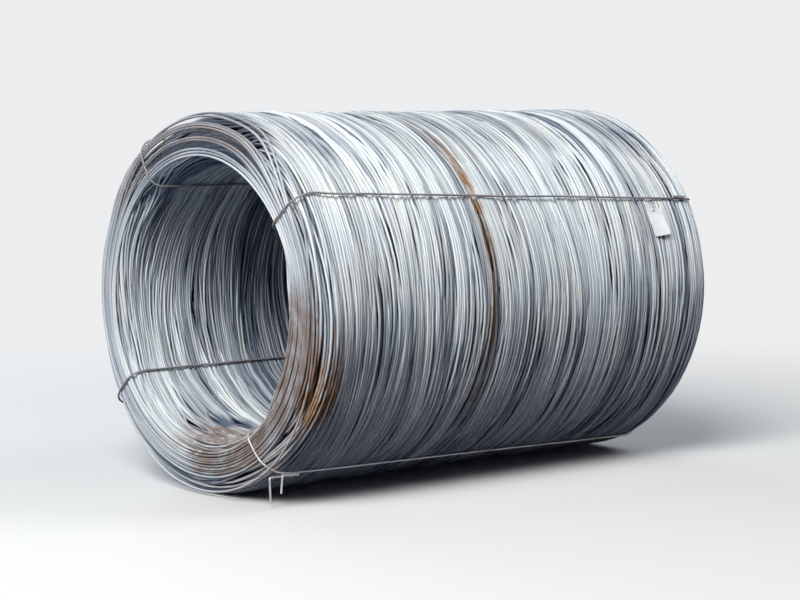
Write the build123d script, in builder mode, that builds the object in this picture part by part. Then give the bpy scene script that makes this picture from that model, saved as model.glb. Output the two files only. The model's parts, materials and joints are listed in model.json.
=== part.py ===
from build123d import *
import math
import os

# A coil of steel wire rod lying on its side, with four binding wires through its eye and a blank tag.
# Frame: millimetres, +Z up, +X along the eye from the near end to the far end. The origin is under the
# middle of the coil, on the floor. Angles round the coil start at its -Y side and rise towards +Z.

# Driving dimensions of the coil
coil_length = 1725.0
outer_diameter = 1200.0
bore_diameter = 860.0
rod_diameter = 8.0
outer_lip_radius = 70.0
inner_lip_radius = 48.0

# The turns that show on each end: four that lie side by side make one ridge, as deep as a rod is half
# buried in its neighbours
turns_in_ridge = 4
end_turn_gap = 4.0
end_ridge_depth = 0.6 * rod_diameter
end_ridge_pitch = turns_in_ridge * (rod_diameter + end_turn_gap)

# Furrows between the groups of turns along the outside: their place between the lips, as a share of
# the straight part, and their depth
furrow_places = (0.09, 0.20, 0.30, 0.402, 0.51, 0.62, 0.74, 0.855)
furrow_depths = (7.0, 6.0, 8.0, 13.0, 6.0, 8.0, 6.0, 7.0)
furrow_width = 26.0

# Binding wires: the angle round the coil of each one in the eye, then outside at the near end, halfway
# along and at the far end
tie_angles = (
    (35.0, 37.0, 33.0, 29.5),
    (124.0, 123.0, 124.0, 126.0),
    (214.0, 217.0, 214.0, 212.0),
    (-58.0, -55.0, -59.0, -64.0),
)
tie_diameter = 7.0
tie_sides = 6
tie_clearance = 0.35
tie_channel_clearance = 0.6
tie_channel_width = 14.0
tie_proud_of_bore = 1.0
tie_middle_bend = 500.0
tie_end_gap = 1.0

# The twisted knot that closes each binding wire outside, past a lip, as its envelope
knot_inset = 30.0
knot_diameter = 14.0
knot_length = 36.0
knot_rise = 2.0

# The cut tails of the last wire's knot run back along it to the near lip and hang down there. A station
# is measured from the near end face, and a height from the floor
long_tail_station = 5.0
long_tail_height = 15.0
short_tail_station = 50.0
short_tail_height = 46.0
tail_bend_radius = 14.0
tail_side_offset = 4.5

# Blank tag on the outside, on the last group of turns
tag_width = 70.0
tag_height = 97.0
tag_thickness = 1.0
tag_corner_cut = 6.0
tag_hole_diameter = 6.0
tag_hole_inset = 9.0
tag_inset = 234.0
tag_angle = 22.0
tag_tilt = 4.0
tag_clearance = 0.3

outer_radius = outer_diameter / 2
bore_radius = bore_diameter / 2
tie_radius = tie_diameter / 2
knot_radius = knot_diameter / 2


def on_coil(station, angle, radius):
    """The point at a distance along the eye from the coil's middle, an angle round it and a radius."""
    turn = math.radians(angle)
    return Vector(station, -radius * math.cos(turn), outer_radius + radius * math.sin(turn))


# Each end is a rounded lip outside, a flat ring and a rounded lip into the eye
flat_ring = outer_radius - outer_lip_radius - inner_lip_radius - bore_radius
outer_round = outer_lip_radius * math.pi / 2
inner_round = inner_lip_radius * math.pi / 2
end_ridges = round((outer_round + flat_ring + inner_round) / end_ridge_pitch)
end_ridge_step = (outer_round + flat_ring + inner_round) / end_ridges


def end_point(side, distance, depth):
    """A point of the end's outline, a distance along it from the outside and sunk by a depth.

    side is -1 at the near end and 1 at the far end.
    """
    if distance < outer_round:
        turn = distance / outer_lip_radius
        rise = outer_radius - outer_lip_radius + (outer_lip_radius - depth) * math.cos(turn)
        inset = outer_lip_radius - (outer_lip_radius - depth) * math.sin(turn)
    elif distance < outer_round + flat_ring:
        rise = outer_radius - outer_lip_radius - (distance - outer_round)
        inset = depth
    else:
        turn = (distance - outer_round - flat_ring) / inner_lip_radius
        rise = bore_radius + inner_lip_radius - (inner_lip_radius - depth) * math.sin(turn)
        inset = inner_lip_radius - (inner_lip_radius - depth) * math.cos(turn)
    return side * (coil_length / 2 - inset), outer_radius + rise


def end_outline(side):
    """The end's outline from the outside into the eye, rising to each ridge and falling behind it."""
    points = [end_point(side, 0, 0)]
    for ridge in range(end_ridges):
        furrow_depth = 0 if ridge == end_ridges - 1 else end_ridge_depth
        points.append(end_point(side, (ridge + 0.5) * end_ridge_step, 0))
        points.append(end_point(side, (ridge + 1) * end_ridge_step, furrow_depth))
    return points


def outside_outline():
    """The outside from the near lip to the far lip: level groups of turns with furrows between them."""
    straight_length = coil_length - 2 * outer_lip_radius
    top = 2 * outer_radius
    points = []
    for place, depth in zip(furrow_places, furrow_depths):
        station = straight_length * (place - 0.5)
        points.append((station - furrow_width / 2, top))
        points.append((station, top - depth))
        points.append((station + furrow_width / 2, top))
    return points


# Each binding wire's loop: through the eye, over the near lip, along the outside and over the far lip
tie_reach = coil_length / 2 + tie_clearance + tie_radius
tie_outer_radius = outer_radius + tie_clearance + tie_radius
tie_inner_radius = bore_radius - tie_proud_of_bore + tie_radius
tie_outer_bend = outer_lip_radius + tie_clearance + tie_radius
tie_inner_bend = inner_lip_radius + tie_proud_of_bore - tie_radius
tie_bends = [tie_inner_bend, tie_inner_bend, tie_outer_bend, tie_middle_bend, tie_outer_bend]


def tie_corners(eye_angle, near_angle, middle_angle, far_angle):
    """The corners of a binding wire's loop, in the order of tie_bends.

    A slanting wire stands out at its corners by as much as its straight runs dip between them.
    """
    widest_step = max(abs(middle_angle - near_angle), abs(far_angle - middle_angle))
    corner_radius = tie_outer_radius / math.cos(math.radians(widest_step / 2))
    return [
        on_coil(tie_reach, eye_angle, tie_inner_radius),
        on_coil(-tie_reach, eye_angle, tie_inner_radius),
        on_coil(-tie_reach, near_angle, corner_radius),
        on_coil(0, middle_angle, corner_radius),
        on_coil(tie_reach, far_angle, corner_radius),
    ]


# The channel that holds a binding wire in the eye follows the wire's bend over both lips
channel_floor = tie_inner_radius + tie_radius + tie_channel_clearance
channel_bend = tie_inner_bend - tie_radius - tie_channel_clearance
channel_bend_station = tie_reach - tie_inner_bend


def radial_plane(angle):
    """The plane through the eye's axis at an angle round the coil, with the radius as its own y."""
    turn = math.radians(angle)
    return Plane((0, 0, outer_radius), x_dir=(1, 0, 0), z_dir=(0, -math.sin(turn), -math.cos(turn)))


def tie_knot(corners, near_lip):
    """The knot's place outside, past a lip, the wire's direction there and the next corner's number."""
    first = 3 if near_lip else 4
    along = (corners[first] - corners[first - 1]).normalized()
    step = along * (tie_outer_bend + knot_inset)
    return corners[2] + step if near_lip else corners[4] - step, along, first


# Each wire's loop is open by a hair in its knot. The last one is knotted past the near lip
ties = []
for angles in tie_angles:
    corners = tie_corners(*angles)
    near_lip = angles == tie_angles[-1]
    place, along, first = tie_knot(corners, near_lip)
    with BuildLine() as loop:
        FilletPolyline(
            place + along * tie_end_gap / 2,
            *corners[first:],
            *corners[:first],
            place - along * tie_end_gap / 2,
            radius=tie_bends[first:] + tie_bends[:first],
        )
    ties.append((loop.line, place, along, near_lip))

# The coil: one turned solid with its eye, and a shallow channel where each binding wire bites in
with BuildPart() as rod_coil:
    with BuildSketch(Plane.XZ):
        with BuildLine():
            Polyline(*reversed(end_outline(-1)), *outside_outline(), *end_outline(1), close=True)
        make_face()
    revolve(axis=Axis((0, 0, outer_radius), (1, 0, 0)))
    for eye_angle, *_ in tie_angles:
        with BuildSketch(radial_plane(eye_angle)):
            with BuildLine():
                Polyline((-channel_bend_station, channel_floor), (channel_bend_station, channel_floor))
                for side in (-1, 1):
                    bend_start = (side * channel_bend_station, channel_floor)
                    bend_end = (side * (channel_bend_station + channel_bend), channel_floor + channel_bend)
                    TangentArc(bend_start, bend_end, tangent=(side, 0))
                    Line(bend_end, (side * coil_length, channel_floor + channel_bend))
                    Line((side * coil_length, channel_floor + channel_bend), (side * coil_length, 0))
                Line((-coil_length, 0), (coil_length, 0))
            make_face()
        extrude(amount=tie_channel_width / 2, both=True, mode=Mode.SUBTRACT)
rod_coil.part.label = "rod_coil"

# The binding wires, each one wire whose two ends meet in a knot
tie_parts = []
for number, (loop, place, along, near_lip) in enumerate(ties, 1):
    outwards = Vector(0, place.Y, place.Z - outer_radius).normalized()
    knot_plane = Plane(place + outwards * (knot_radius - tie_radius + knot_rise), z_dir=along)
    with BuildPart() as binding_tie:
        with BuildSketch(Plane(loop.wires()[0] @ 0, z_dir=loop.wires()[0] % 0)):
            RegularPolygon(tie_radius, tie_sides)
        sweep(path=loop)
        with Locations(knot_plane):
            Cylinder(knot_radius, knot_length)
        if near_lip:
            sideways = along.cross(outwards)
            for offset, station, height in (
                (1, long_tail_station, long_tail_height),
                (-1, short_tail_station, short_tail_height),
            ):
                start = knot_plane.origin + sideways * tail_side_offset * offset
                bend = start - along * (place.X + coil_length / 2 - station)
                with BuildLine() as tail:
                    FilletPolyline(start, bend, (bend.X, bend.Y, height), radius=tail_bend_radius)
                with BuildSketch(Plane(start, z_dir=-along)):
                    RegularPolygon(tie_radius, tie_sides)
                sweep(path=tail.line)
    binding_tie.part.label = f"binding_tie_{number}"
    tie_parts.append(binding_tie.part)

# The tag: a thin plate with a punched hole, flat against the crest of the last group of turns
tag_station = coil_length / 2 - tag_inset
tag_centre = on_coil(tag_station, tag_angle, outer_radius + tag_clearance)
tag_outwards = tag_centre - on_coil(tag_station, 0, 0)
tag_along = Vector(1, 0, 0).rotate(Axis((0, 0, 0), tag_outwards), tag_tilt)
tag_plane = Plane(tag_centre, x_dir=tag_along, z_dir=tag_outwards)
with BuildPart() as mill_tag:
    with BuildSketch(tag_plane):
        tag_outline = Rectangle(tag_width, tag_height)
        chamfer(tag_outline.vertices(), tag_corner_cut)
        with Locations((0, tag_height / 2 - tag_hole_inset)):
            Circle(tag_hole_diameter / 2, mode=Mode.SUBTRACT)
    extrude(amount=tag_thickness)
mill_tag.part.label = "mill_tag"

os.makedirs("parts", exist_ok=True)
export_step(rod_coil.part, "parts/rod_coil.step")
for tie_part in tie_parts:
    export_step(tie_part, f"parts/{tie_part.label}.step")
export_step(mill_tag.part, "parts/mill_tag.step")
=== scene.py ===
"""Dresses the coil of wire rod: every turn that shows, the binding ties, the blank tag and a plain studio."""

import json
import math
import bpy
import numpy as np
from mathutils import Matrix, Vector


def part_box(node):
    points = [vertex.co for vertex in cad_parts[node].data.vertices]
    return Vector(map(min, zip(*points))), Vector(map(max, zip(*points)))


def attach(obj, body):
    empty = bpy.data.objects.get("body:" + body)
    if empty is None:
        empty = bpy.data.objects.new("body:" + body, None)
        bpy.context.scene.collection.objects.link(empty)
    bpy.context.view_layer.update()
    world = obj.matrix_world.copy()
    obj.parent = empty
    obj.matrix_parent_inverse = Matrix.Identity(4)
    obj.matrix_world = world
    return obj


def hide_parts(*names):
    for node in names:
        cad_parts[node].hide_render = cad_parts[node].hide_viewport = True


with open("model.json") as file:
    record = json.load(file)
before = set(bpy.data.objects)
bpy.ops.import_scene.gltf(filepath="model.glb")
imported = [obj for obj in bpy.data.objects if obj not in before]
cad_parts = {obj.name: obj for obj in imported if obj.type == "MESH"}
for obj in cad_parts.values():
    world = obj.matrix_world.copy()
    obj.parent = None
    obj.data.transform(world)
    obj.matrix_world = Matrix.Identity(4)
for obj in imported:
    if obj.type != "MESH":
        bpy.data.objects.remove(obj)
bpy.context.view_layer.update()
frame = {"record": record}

coil_low, coil_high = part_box("rod_coil")

bl_info = {
    "name": "Coil of Wire Rod",
    "version": (1, 0, 0),
    "blender": (4, 5, 0),
    "location": "View3D > Sidebar > Coil",
    "description": "Builds the turns, the binding ties, the blank tag and a studio round the coil's frame",
    "category": "Object",
}

# The coil's own sizes, in metres, as its frame has them
half_length = coil_high.x
coil_length = 2 * half_length
outer_radius = (coil_high.z - coil_low.z) / 2
axis_height = (coil_high.z + coil_low.z) / 2
bore_radius = frame["record"]["mounts"][0]["dims"]["r_mm"] / 1000
outer_lip = 0.070
inner_lip = 0.048
sharp_inner_lip = 0.010

# A turn's usual radius, and the radius past which the turns belong to the outside
mean_radius = 0.52
outside_radius = 0.53

# Furrows between groups of turns outside: place as a share of the straight part, and depth
furrows = (
    (0.09, 0.007),
    (0.20, 0.006),
    (0.30, 0.008),
    (0.402, 0.017),
    (0.51, 0.006),
    (0.62, 0.009),
    (0.74, 0.006),
    (0.855, 0.008),
)
furrow_half_width = 0.013
main_furrow = outer_lip + furrows[3][0] * 2 * (half_length - outer_lip)

# Each tie's angle round the coil in the eye, then outside at the near end, halfway and at the far end
tie_angles = (
    (35.0, 37.0, 33.0, 29.5),
    (124.0, 123.0, 124.0, 126.0),
    (214.0, 217.0, 214.0, 212.0),
    (-58.0, -55.0, -59.0, -64.0),
)

# The ties' loops: how far they reach past the coil's ends, their radii, their bends round its lips, and
# the room that the turns in the eye leave them
tie_past_end = 0.00385
tie_reach = half_length + tie_past_end
tie_outer_radius = 0.60385
tie_inner_radius = 0.4325
tie_outer_bend = 0.07385
tie_inner_bend = 0.0455
tie_radius = 0.0035
tie_gap = 0.0008

# How far a tie's runs reach from the coil's middle, how much it sways, in degrees, and how far it lifts
# off outside and in the eye
outside_run, full_run = 0.74, 0.76
outside_sway, eye_sway = 0.12, 0.10
outside_lift, eye_lift = 0.0007, 0.0012

# The knots of the ties: their distance past the lip's bend, the stretch of tie that they lie along, and
# their length, height over the tie and twist
knot_inset = 0.030
knot_stretch = 0.02
knot_length = 0.036
knot_rise = 0.0055
knot_twists = 2.1

# The two tails of the last tie's knot: which side, distance from the near end, height and lean
tie_tails = ((1, 0.005, 0.015, 0.006), (-1, 0.050, 0.046, -0.008))
tail_side_offset = 0.0045

# The tag: its thickness, cut corners and punched hole, and how it lies on the far group of turns
tag_thickness = 0.001
tag_corner_cut = 0.006
tag_hole_radius = 0.003
tag_hole_inset = 0.009
tag_inset, tag_angle, tag_tilt = 0.234, 22.0, 4.0
tag_clearance = 0.0003

# How much the tag's sheet waves up and down
tag_wave = 0.0012

# The tag's thin wire, from its hole and back: distance out of the tag, up along it and across it
tag_wire_diameter = 0.0014
tag_wire_places = (
    (0.0050, 0.0, 0.0),
    (0.0055, 0.006, 0.0),
    (0.0010, 0.013, 0.002),
    (-0.0060, 0.013, 0.003),
    (-0.0080, 0.004, 0.001),
    (-0.0020, 0.0, 0.0),
    (0.0050, 0.0, 0.0),
    (0.0060, 0.002, -0.005),
    (0.0045, 0.004, -0.012),
)

# How a turn wanders on its round, by the number of its waves: outwards by a size of its own, and along
# the coil by a size that it shares with its neighbours and one of its own. Its tone changes the same way
round_waves = ((2, 0.0030), (3, 0.0018), (5, 0.0006))
side_waves = ((1, 0.0100, 0.0044), (2, 0.0070, 0.0030), (3, 0.0044, 0.0021), (5, 0.0020, 0.0012))
tone_waves = ((1, 0.07), (2, 0.07), (3, 0.06), (5, 0.05), (8, 0.04))

# A wave or a twist starts anywhere on its round, in radians
any_start = 6.28

# Each turn touches the outside about this many degrees on from the turn before it, more or less
touch_step, touch_spread = 137.5, 25

# The turns settle in this many rounds. In each one a rod is pushed off every rod that it cuts into, among
# this many neighbours on a side, by this share of the cut
settle_rounds, neighbours, push_share = 70, 16, 0.35

# The least room between the eye's side and the outside for the middle of a rod
least_wall = 0.004

# Seeds of the scale's finish and of the ties' sway
finish_seed, tie_seed = 11, 40

# How far the near end's turns are drawn back all round and above the eye, and over what length. Then the
# sectors where they are drawn back and where the eye's edge is sharp: from and to an angle, and the fade
drawn_back_round, drawn_back_above, drawn_back_length = 0.006, 0.060, 0.28
drawn_back_sector = (86, 110, 40)
sharp_sector = (-34, 10, 16)

# Where the last turns of the near end stand when they part into ribs above the eye, and side by side
loose_ribs = (0.466, 0.474, 0.482, 0.512, 0.520, 0.549, 0.557, 0.565, 0.586, 0.5925)
loose_start, loose_pitch = 0.466, 0.0081

# Spots low in the eye where the turns have sunk: distance from the near end and angle round the coil
sunk_spots = ((0.106, 250.0), (0.206, 248.5), (0.270, 252.0))
sunk_reach, sunk_depth, sunk_parting = 0.034, 0.016, 0.024

# Bands outside: painted light that makes the shoulder paler, a darker top, and painted shade along and below
# the side: how much paler, from which angle to which, and their fade
painted_light_bands = ((0.06, 18, 45, 15), (-0.16, 62, 118, 18), (-0.20, -15, -5, 11), (-0.08, -90, -15, 12))

# Rust and dirt: the strength, the share of it that every turn takes, the distance from the near end and
# the spread along the coil, the angles from and to and their fade, and the radii from and to
rust_spots = (
    (1.25, 0.80, 0.064, 0.025, -27, -20, 8, outside_radius, 1),
    (0.40, 1, 0.066, 0.045, -31, -14, 12, outside_radius, 1),
    (0.55, 1, main_furrow, 0.013, 0, 44, 20, outside_radius, 1),
    (0.32, 1, main_furrow, 0.020, -34, 60, 22, outside_radius, 1),
    (0.16, 1, 0.0, 0.035, 70, 135, 22, 0.50, 1),
    (0.30, 1, 0.01, 0.03, -60, -20, 25, 0, 1),
)
dirt_spots = (
    (1.1, 0.55, 0.0, 0.035, 268, 304, 12, 0, 0.535),
    (0.42, 1, 0.0, 0.035, 72, 132, 22, 0.50, 1),
    (0.75, 1, 0.0, 0.045, -38, 0, 12, 0, 0.56),
    (0.35, 1, main_furrow - 0.03, 0.035, -40, -22, 12, outside_radius, 1),
    (1.0, 0.55, 0.14, 0.085, 253, 282, 9, 0, 0.50),
)

# Where turns that stand close to the camera are bent in finer steps: from angle to angle
fine_outside = ((30, 130),)
fine_in_eye = ((232, 272),)
fine_at_near_end = ((30, 150), (215, 285))

# How near an end a turn counts as the end's own, how near it more turns show, and how much deeper they
# show there. In the eye fewer show
end_reach, deeper_reach, deeper = 0.062, 0.11, 0.012
eye_shallower = 0.003

# The tone of a turn at the surface, and how fast painted shade darkens turns with their depth
surface_tone, depth_shade = 0.74, 16.0

# How far each turn's streaks start after those of the turn before it
streak_shift = 0.0323

# The core between the turns: its radii, its distance from each end, and its rounding
core_inner, core_outer = 0.462, 0.566
core_near_inset, core_far_inset = 0.128, 0.056
core_rounding = 0.022

# The soft lamps: place, size, share of the lamp's power and colour
lamps = (
    ("sky_lamp", (-7.4, -4.1, 8.5), 5.2, 1.0, (1.0, 0.985, 0.96)),
    ("mouth_lamp", (-6.6, -1.6, 3.4), 2.5, 0.115, (0.93, 0.97, 1.0)),
    ("far_lamp", (4.2, -4.0, 6.6), 4.0, 0.15, (0.96, 0.98, 1.0)),
    ("back_lamp", (1.2, 7.2, 2.6), 4.0, 0.22, (0.75, 0.87, 1.0)),
)
lamp_aim = (0.0, 0.0, 0.6)
sky_colour = (0.50, 0.64, 1.0)

# Where the floor begins and ends to fade into the backdrop, from the middle of the coil
floor_fade = (1.1, 4.6)

camera_place = (-5.118, -5.795, 1.257)
camera_aim = (-0.03, 0.0, 0.565)

# The turns, once they are laid
laid = {}


class CoilTurnSettings(bpy.types.PropertyGroup):
    """The rod and how its turns are laid and finished"""

    rod_diameter: bpy.props.FloatProperty(
        name="Rod Diameter",
        description="Thickness of the rod",
        default=0.008,
        min=0.004,
        max=0.014,
        unit="LENGTH",
    )
    turn_count: bpy.props.IntProperty(
        name="Turns", description="Number of turns that are laid", default=1560, min=200, max=2200
    )
    angle_steps: bpy.props.IntProperty(
        name="Steps a Turn", description="Straight steps in one turn", default=72, min=36, max=120
    )
    sides: bpy.props.IntProperty(
        name="Sides", description="Sides of the rod's section", default=6, min=5, max=8
    )
    seed: bpy.props.IntProperty(name="Lay", description="Changes how the turns fall", default=4, min=0)
    drawn_depth: bpy.props.FloatProperty(
        name="Drawn Depth", description="How deep turns are shown", default=0.026, unit="LENGTH"
    )
    pale_scale: bpy.props.FloatVectorProperty(
        name="Pale Scale",
        description="Colour of the palest mill scale",
        default=(0.785, 0.85, 0.885),
        subtype="COLOR",
    )
    warm_scale: bpy.props.FloatVectorProperty(
        name="Warm Scale",
        description="Colour of pale scale with a trace of rust",
        default=(0.83, 0.83, 0.79),
        subtype="COLOR",
    )
    dark_scale: bpy.props.FloatVectorProperty(
        name="Dark Scale",
        description="Colour of the darkest mill scale",
        default=(0.11, 0.14, 0.20),
        subtype="COLOR",
    )
    rust: bpy.props.FloatVectorProperty(
        name="Rust", description="Colour of the rust", default=(0.44, 0.23, 0.095), subtype="COLOR"
    )
    dirt: bpy.props.FloatVectorProperty(
        name="Dirt",
        description="Colour of the dirt in the eye",
        default=(0.26, 0.205, 0.185),
        subtype="COLOR",
    )


class CoilTieSettings(bpy.types.PropertyGroup):
    """The binding ties"""

    wire_diameter: bpy.props.FloatProperty(
        name="Wire Diameter", description="Thickness of a binding tie", default=0.0066, unit="LENGTH"
    )
    wire: bpy.props.FloatVectorProperty(
        name="Wire", description="Colour of the wire", default=(0.13, 0.135, 0.15), subtype="COLOR"
    )
    worn: bpy.props.FloatVectorProperty(
        name="Worn Wire",
        description="Colour where the wire is rubbed",
        default=(0.62, 0.60, 0.61),
        subtype="COLOR",
    )


class CoilTagSettings(bpy.types.PropertyGroup):
    """The blank tag"""

    width: bpy.props.FloatProperty(name="Width", description="Width of the tag", default=0.070, unit="LENGTH")
    height: bpy.props.FloatProperty(
        name="Height", description="Height of the tag", default=0.097, unit="LENGTH"
    )
    curl: bpy.props.FloatProperty(
        name="Curl", description="How far the free corner lifts", default=0.009, unit="LENGTH"
    )
    face: bpy.props.FloatVectorProperty(
        name="Face", description="Colour of the tag", default=(0.95, 0.965, 0.98), subtype="COLOR"
    )


class CoilStudioSettings(bpy.types.PropertyGroup):
    """The floor, the backdrop, the lamps and the camera"""

    floor: bpy.props.FloatVectorProperty(
        name="Floor", description="Colour of the floor", default=(0.80, 0.80, 0.79), subtype="COLOR"
    )
    floor_bounce: bpy.props.FloatVectorProperty(
        name="Floor Bounce",
        description="Colour that the floor throws back",
        default=(0.062, 0.070, 0.105),
        subtype="COLOR",
    )
    backdrop: bpy.props.FloatVectorProperty(
        name="Backdrop", description="Colour behind the coil", default=(0.84, 0.85, 0.86), subtype="COLOR"
    )
    sky: bpy.props.FloatProperty(name="Sky", description="Light from all round", default=0.033, min=0)
    lamp: bpy.props.FloatProperty(
        name="Lamp", description="Power of the soft lamp", default=1270.0, min=0, unit="POWER"
    )
    lens: bpy.props.FloatProperty(
        name="Lens", description="Focal length of the camera", default=104.0, unit="CAMERA"
    )


def smooth_noise(rng, count, width):
    """Random values that change slowly over a number of turns."""
    weights = np.exp(-0.5 * (np.arange(-3 * width, 3 * width + 1) / width) ** 2)
    weights /= np.sqrt((weights**2).sum())
    return np.convolve(rng.normal(size=count + 6 * width), weights, mode="valid")[:count]


def bump_window(angle, start, end, blend):
    """1 between two angles, falling smoothly to 0 over a blend on each side. Angles in degrees."""
    middle, half = (start + end) / 2, (end - start) / 2
    off = np.abs((angle - middle + 180) % 360 - 180) - half
    return 0.5 + 0.5 * np.cos(np.pi * np.clip(off / blend, 0, 1))


def lip_drop(radius, inset):
    """How far a quarter-round lip has fallen away at a distance from the end."""
    short = np.clip(radius - inset, 0, radius)
    return radius - np.sqrt(radius**2 - short**2)


def own_wave(rng, size, count, waves, angle):
    """A wave round each turn, of a height and a start of its own."""
    return size * rng.normal(size=(count, 1)) * np.cos(waves * angle + rng.uniform(0, any_start, (count, 1)))


def wall_limits(station, angle, rod_radius, swell):
    """The least and greatest radius of a rod's centre line at a station from the near end."""
    from_end = np.minimum(station, coil_length - station)
    inset = np.clip(from_end - rod_radius, 0, None)
    highest = outer_radius - rod_radius - lip_drop(outer_lip - rod_radius, inset) - swell
    for share, depth in furrows:
        place = outer_lip + share * (coil_length - 2 * outer_lip)
        highest = highest - depth * np.clip(1 - np.abs(station - place) / furrow_half_width, 0, 1)
    lowest = bore_radius + rod_radius + lip_drop(inner_lip - rod_radius, inset)
    # on the side where no tie holds them back, the near end's innermost turns stand out to the end face
    sharp = bump_window(angle, *sharp_sector) * (station < half_length)
    sharp_lowest = bore_radius + rod_radius + lip_drop(sharp_inner_lip, inset)
    lowest = lowest + sharp * (sharp_lowest - lowest)
    held = 0.0
    for eye_angle, *_ in tie_angles:
        held = np.maximum(held, bump_window(angle, eye_angle - 5, eye_angle + 5, 6))
    held_bend = tie_inner_bend - tie_radius - tie_gap - rod_radius
    held_inset = np.clip(from_end - (tie_inner_bend - tie_past_end - held_bend), 0, None)
    held_lowest = tie_inner_radius + tie_inner_bend - held_bend + lip_drop(held_bend, held_inset)
    lowest = lowest + held * np.clip(held_lowest - lowest, 0, None)
    for sunk_station, sunk_angle in sunk_spots:
        near = np.clip(1 - ((station - sunk_station) / sunk_reach) ** 2, 0, 1)
        lowest = lowest + sunk_depth * near * bump_window(angle, sunk_angle - 1.5, sunk_angle + 1.5, 9)
    return lowest, np.maximum(highest, lowest + least_wall)


def lay_turns(settings):
    """Lays loose eccentric turns and pushes them apart until they rest beside each other.

    Returns the angles, and for each turn and angle the radius and the station of the rod's centre.
    """
    if laid:
        return laid
    rng = np.random.default_rng(settings.seed)
    count, steps = settings.turn_count, settings.angle_steps
    diameter = settings.rod_diameter
    rod_radius = diameter / 2
    angle = np.linspace(0, 2 * np.pi, steps, endpoint=False)
    degrees = np.degrees(angle)[None, :]
    nominal = (np.arange(count) + 0.5) / count * (coil_length - diameter) + rod_radius

    # the outside swells and sinks a little from one group of turns to the next
    knots = np.linspace(0, coil_length, 400)
    swell_a, swell_b, swell_c = (smooth_noise(rng, 400, 9) for _ in range(3))

    def swell(station, turned):
        a = np.interp(station, knots, swell_a)
        b = np.interp(station, knots, swell_b)
        c = np.interp(station, knots, swell_c)
        wave = a + b * np.cos(turned) + c * np.sin(turned)
        return 0.0016 * np.clip(1.3 + wave, 0, 4)

    lowest, highest = wall_limits(nominal, 0.0, rod_radius, 0.0)
    middle_radius = (highest + lowest) / 2
    reach = (highest - lowest) / 2 * (1.07 + rng.normal(0, 0.05, count)).clip(0.7, 1.2)
    touch = np.cumsum(np.full(count, np.radians(touch_step)) + rng.normal(0, np.radians(touch_spread), count))
    turned = angle[None, :] - touch[:, None]
    radius = middle_radius[:, None] + reach[:, None] * np.cos(turned)
    radius -= reach[:, None] ** 2 / (2 * middle_radius[:, None]) * np.sin(turned) ** 2
    for waves, size in round_waves:
        radius += own_wave(rng, size, count, waves, angle)
    station = np.repeat(nominal[:, None], steps, axis=1)
    for waves, shared, single in side_waves:
        c, s = smooth_noise(rng, count, 38), smooth_noise(rng, count, 38)
        station += shared * (c[:, None] * np.cos(waves * angle) + s[:, None] * np.sin(waves * angle))
        station += own_wave(rng, single, count, waves, angle)

    # low in the eye the turns have parted in three spots
    for sunk_station, sunk_angle in sunk_spots:
        off = station - sunk_station
        parted = sunk_parting * np.exp(-0.5 * (off / sunk_parting) ** 2)
        parted = parted * bump_window(degrees, sunk_angle - 1, sunk_angle + 1, 11)
        station = station + np.sign(off) * parted * (radius < mean_radius)

    # the end turns are drawn back in one sector of the near end, and loose turns bridge it there
    drawn_back = drawn_back_round + drawn_back_above * bump_window(degrees, *drawn_back_sector)
    drawn_back = drawn_back * np.clip(1.6 - nominal[:, None] / drawn_back_length, 0, 1)

    def keep_in(station, radius):
        station = np.clip(station, rod_radius + drawn_back, coil_length - rod_radius)
        low, high = wall_limits(station - drawn_back, degrees, rod_radius, swell(station, angle[None, :]))
        return station, np.clip(radius, low, high)

    station, radius = keep_in(station, radius)
    loose_station, loose_radius = loose_turns(angle, degrees, rod_radius)
    station = np.vstack([station, loose_station])
    radius = np.vstack([radius, loose_radius])
    start_station, start_radius = station.copy(), radius.copy()
    for _ in range(settle_rounds):
        order = np.argsort(station, axis=0)
        sorted_station = np.take_along_axis(station, order, 0)
        sorted_radius = np.take_along_axis(radius, order, 0)
        move_station = np.zeros_like(station)
        move_radius = np.zeros_like(radius)
        for step in range(1, neighbours + 1):
            along = sorted_station[step:] - sorted_station[:-step]
            across = sorted_radius[step:] - sorted_radius[:-step]
            apart = along**2 + across**2
            touching = apart < diameter**2
            apart = np.sqrt(apart[touching]) + 1e-6
            push = push_share * (diameter - apart) / apart
            for delta, moved in ((along, move_station), (across, move_radius)):
                part = np.zeros_like(delta)
                part[touching] = push * delta[touching]
                moved[step:] += part
                moved[:-step] -= part
        for moved, values in ((move_station, station), (move_radius, radius)):
            spread = np.zeros_like(values)
            np.put_along_axis(spread, order, moved, 0)
            values += spread
        # a rod is stiff, so what one spot is pushed its neighbours share
        bent = [station - start_station, radius - start_radius]
        for _ in range(2):
            bent = [0.5 * bend + 0.25 * (np.roll(bend, 1, 1) + np.roll(bend, -1, 1)) for bend in bent]
        station, radius = start_station + bent[0], start_radius + bent[1]
        station[:count], radius[:count] = keep_in(station[:count], radius[:count])
        station[count:], radius[count:] = loose_station, loose_radius

    drawn_back = np.vstack([drawn_back, np.zeros_like(loose_station)])
    low, high = wall_limits(station - drawn_back, degrees, rod_radius, swell(station, angle[None, :]))
    nominal = np.concatenate([nominal, loose_station.mean(axis=1)])
    laid.update(angle=angle, degrees=degrees, station=station, radius=radius, low=low, high=high)
    laid.update(nominal=nominal, drawn_back=drawn_back)
    add_finish_fields(laid)
    return laid


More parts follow.
